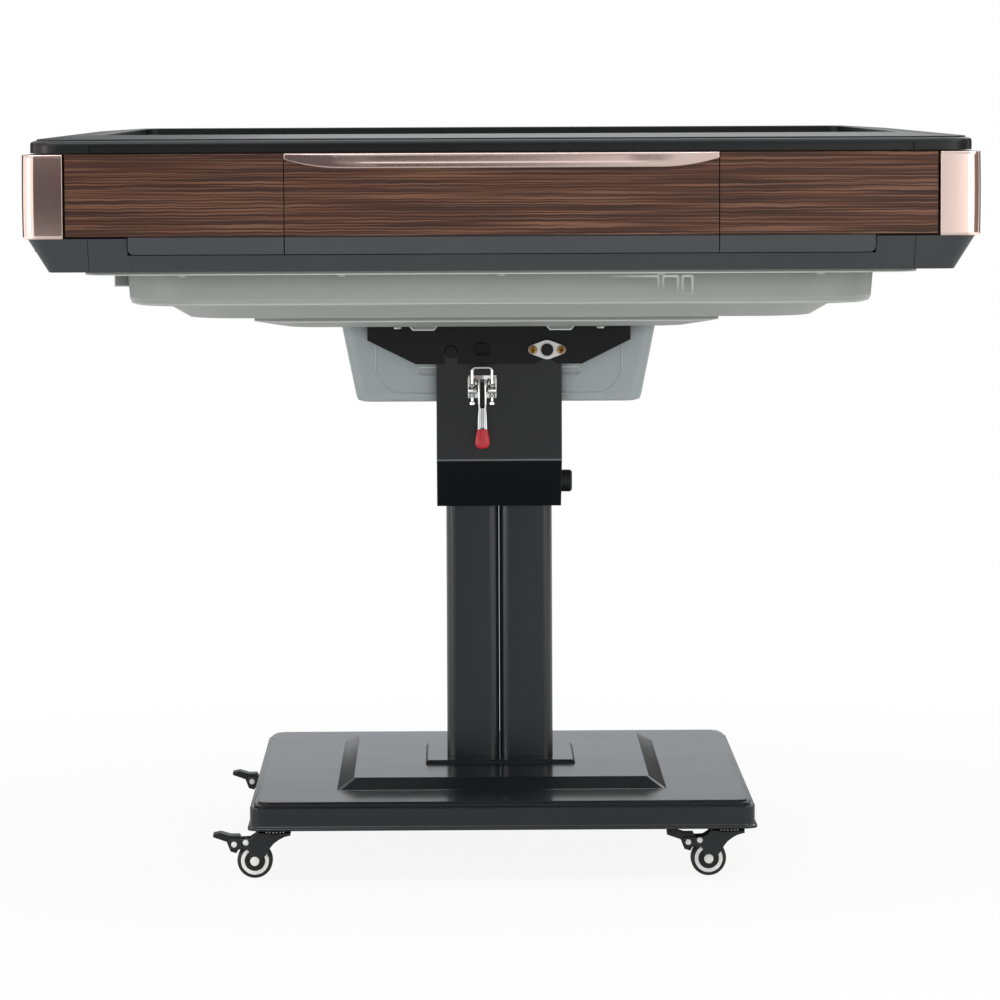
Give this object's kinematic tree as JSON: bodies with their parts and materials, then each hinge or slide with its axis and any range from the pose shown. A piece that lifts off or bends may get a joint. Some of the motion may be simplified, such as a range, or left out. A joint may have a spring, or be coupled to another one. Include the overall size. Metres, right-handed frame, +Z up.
{
  "type": "folding mahjong table",
  "caption": "Square powered mahjong table with wood-fronted drawers on each side, a stepped machine belly and a folding hinge on a column with a wheeled base.",
  "frame": {"origin": "on the floor under the centre of the table", "axes": "+Z up, +X to the right seen from the side with the latch, +Y away from that side"},
  "size_m": [0.97, 0.97, 0.796],
  "materials": {
    "black_abs": "fine satin texture",
    "charcoal_abs": "fine satin texture",
    "walnut_veneer": "dark brown, horizontal grain, satin lacquer",
    "rose_metal": "anodised pale rose gold",
    "belly_abs": "matt warm grey",
    "box_abs": "matt light grey",
    "black_steel": "black satin powder coat",
    "base_paint": "dark grey satin paint",
    "zinc_steel": "zinc plated",
    "yellow_zinc": "yellow passivated zinc",
    "chrome_steel": "bright",
    "red_vinyl": "smooth dipped vinyl",
    "black_rubber": "matt",
    "caster_tread": "matt with a pale ring",
    "playing_cloth": "short napped deep green cloth",
    "board_wood": "plain board",
    "frame_wood": "plain timber",
    "tray_abs": "fine texture",
    "console_abs": "gloss black",
    "clear_dome": "clear",
    "button_abs": "gloss",
    "inner_abs": "plain",
    "motor_paint": "plain"
  },
  "bodies": {
    "pedestal": {"base_cover": "base_paint", "base_frame": "black_steel", "foot_plate": "black_steel", "foot_bolts": "zinc_steel", "column_tubes": "black_steel", "fork_sleeve": "black_steel", "fork_pins": "zinc_steel", "fold_bumper": "black_rubber", "latch_base": "chrome_steel", "caster_stems": "black_steel"},
    "lever": {"latch_lever": "chrome_steel", "latch_grip": "red_vinyl"},
    "loop": {"latch_loop": "chrome_steel"},
    "table": {"belly_shell": "belly_abs", "power_inlet": "belly_abs", "motor_housing": "box_abs", "drive_motor": "motor_paint", "wing_plates": "black_steel", "pivot_bearings": "zinc_steel", "bracket_screws": "yellow_zinc", "chassis_frame": "frame_wood", "skirt_frame": "charcoal_abs", "corner_posts": "rose_metal", "side_panels": "walnut_veneer", "panel_strips": "black_abs", "playfield_board": "board_wood", "playfield_cloth": "playing_cloth", "rim_frame": "black_abs", "drawer_runners": "frame_wood", "guide_posts": "zinc_steel"},
    "lifts": {"tile_lifts": "inner_abs"},
    "console": {"console_body": "console_abs", "dice_dome": "clear_dome"},
    "button": {"console_button": "button_abs"},
    "shuffler": {"turntable": "inner_abs"},
    "drive": {"drive_wheel": "black_rubber"},
    "drawer_1": {"drawer_front_1": "walnut_veneer", "drawer_pull_1": "rose_metal", "drawer_tray_1": "tray_abs"},
    "drawer_2": {"drawer_front_2": "walnut_veneer", "drawer_pull_2": "rose_metal", "drawer_tray_2": "tray_abs"},
    "drawer_3": {"drawer_front_3": "walnut_veneer", "drawer_pull_3": "rose_metal", "drawer_tray_3": "tray_abs"},
    "drawer_4": {"drawer_front_4": "walnut_veneer", "drawer_pull_4": "rose_metal", "drawer_tray_4": "tray_abs"},
    "caster_1": {"caster_fork_1": "black_steel"},
    "wheel_1": {"caster_wheel_1": "caster_tread"},
    "pedal_1": {"caster_pedal_1": "black_abs"},
    "caster_2": {"caster_fork_2": "black_steel"},
    "wheel_2": {"caster_wheel_2": "caster_tread"},
    "pedal_2": {"caster_pedal_2": "black_abs"},
    "caster_3": {"caster_fork_3": "black_steel"},
    "wheel_3": {"caster_wheel_3": "caster_tread"},
    "pedal_3": {"caster_pedal_3": "black_abs"},
    "caster_4": {"caster_fork_4": "black_steel"},
    "wheel_4": {"caster_wheel_4": "caster_tread"},
    "pedal_4": {"caster_pedal_4": "black_abs"}
  },
  "joints": [
    {"name": "table_fold", "type": "hinge", "parent": "pedestal", "child": "table", "pos_m": [0.0524, 0, 0.558], "axis": [0, -1, 0], "range_deg": [-90, 0]},
    {"name": "drawer_slide_1", "type": "slide", "parent": "table", "child": "drawer_1", "axis": [0, -1, 0], "range_m": [0, 0.11]},
    {"name": "drawer_slide_2", "type": "slide", "parent": "table", "child": "drawer_2", "axis": [1, 0, 0], "range_m": [0, 0.11]},
    {"name": "drawer_slide_3", "type": "slide", "parent": "table", "child": "drawer_3", "axis": [0, 1, 0], "range_m": [0, 0.11]},
    {"name": "drawer_slide_4", "type": "slide", "parent": "table", "child": "drawer_4", "axis": [-1, 0, 0], "range_m": [0, 0.11]},
    {"name": "caster_swivel_1", "type": "hinge", "parent": "pedestal", "child": "caster_1", "pos_m": [-0.243, -0.235, 0.0516], "axis": [0, 0, 1], "continuous": true},
    {"name": "caster_roll_1", "type": "hinge", "parent": "caster_1", "child": "wheel_1", "pos_m": [-0.265, -0.235, 0.019], "axis": [0, 1, 0], "continuous": true},
    {"name": "caster_brake_1", "type": "hinge", "parent": "caster_1", "child": "pedal_1", "pos_m": [-0.287, -0.235, 0.0373], "axis": [0, -1, 0], "range_deg": [0, 18]},
    {"name": "caster_swivel_2", "type": "hinge", "parent": "pedestal", "child": "caster_2", "pos_m": [0.243, -0.235, 0.0516], "axis": [0, 0, 1], "continuous": true},
    {"name": "caster_roll_2", "type": "hinge", "parent": "caster_2", "child": "wheel_2", "pos_m": [0.221, -0.235, 0.019], "axis": [0, 1, 0], "continuous": true},
    {"name": "caster_brake_2", "type": "hinge", "parent": "caster_2", "child": "pedal_2", "pos_m": [0.199, -0.235, 0.0373], "axis": [0, -1, 0], "range_deg": [0, 18]},
    {"name": "caster_swivel_3", "type": "hinge", "parent": "pedestal", "child": "caster_3", "pos_m": [-0.243, 0.235, 0.0516], "axis": [0, 0, 1], "continuous": true},
    {"name": "caster_roll_3", "type": "hinge", "parent": "caster_3", "child": "wheel_3", "pos_m": [-0.265, 0.235, 0.019], "axis": [0, 1, 0], "continuous": true},
    {"name": "caster_brake_3", "type": "hinge", "parent": "caster_3", "child": "pedal_3", "pos_m": [-0.287, 0.235, 0.0373], "axis": [0, -1, 0], "range_deg": [0, 18]},
    {"name": "caster_swivel_4", "type": "hinge", "parent": "pedestal", "child": "caster_4", "pos_m": [0.243, 0.235, 0.0516], "axis": [0, 0, 1], "continuous": true},
    {"name": "caster_roll_4", "type": "hinge", "parent": "caster_4", "child": "wheel_4", "pos_m": [0.221, 0.235, 0.019], "axis": [0, 1, 0], "continuous": true},
    {"name": "caster_brake_4", "type": "hinge", "parent": "caster_4", "child": "pedal_4", "pos_m": [0.199, 0.235, 0.0373], "axis": [0, -1, 0], "range_deg": [0, 18]},
    {"name": "latch_lever_pivot", "type": "hinge", "parent": "pedestal", "child": "lever", "pos_m": [-0.0185, -0.108, 0.522], "axis": [-1, 0, 0], "range_deg": [0, 110]},
    {"name": "latch_loop_pivot", "type": "hinge", "parent": "lever", "child": "loop", "pos_m": [-0.0185, -0.112, 0.514], "axis": [-1, 0, 0], "range_deg": [-110, 0]},
    {"name": "tile_lift", "type": "slide", "parent": "table", "child": "lifts", "axis": [0, 0, 1], "range_m": [-0.045, 0]},
    {"name": "console_lift", "type": "slide", "parent": "table", "child": "console", "axis": [0, 0, 1], "range_m": [0, 0.045]},
    {"name": "button_press", "type": "slide", "parent": "console", "child": "button", "axis": [0, 0, 1], "range_m": [-0.002, 0], "stiffness_N_per_m": 400, "springref_m": 0.001},
    {"name": "turntable_spin", "type": "hinge", "parent": "table", "child": "shuffler", "pos_m": [0, 0, 0.62], "axis": [0, 0, 1], "continuous": true},
    {"name": "drive_spin", "type": "hinge", "parent": "table", "child": "drive", "pos_m": [-0.11, 0, 0.6], "axis": [0, 0, 1], "continuous": true}
  ],
  "couplings": [
    {"joint": "latch_loop_pivot", "follows": "latch_lever_pivot", "ratio": -1},
    {"joint": "drive_spin", "follows": "turntable_spin", "ratio": 3.7783}
  ]
}
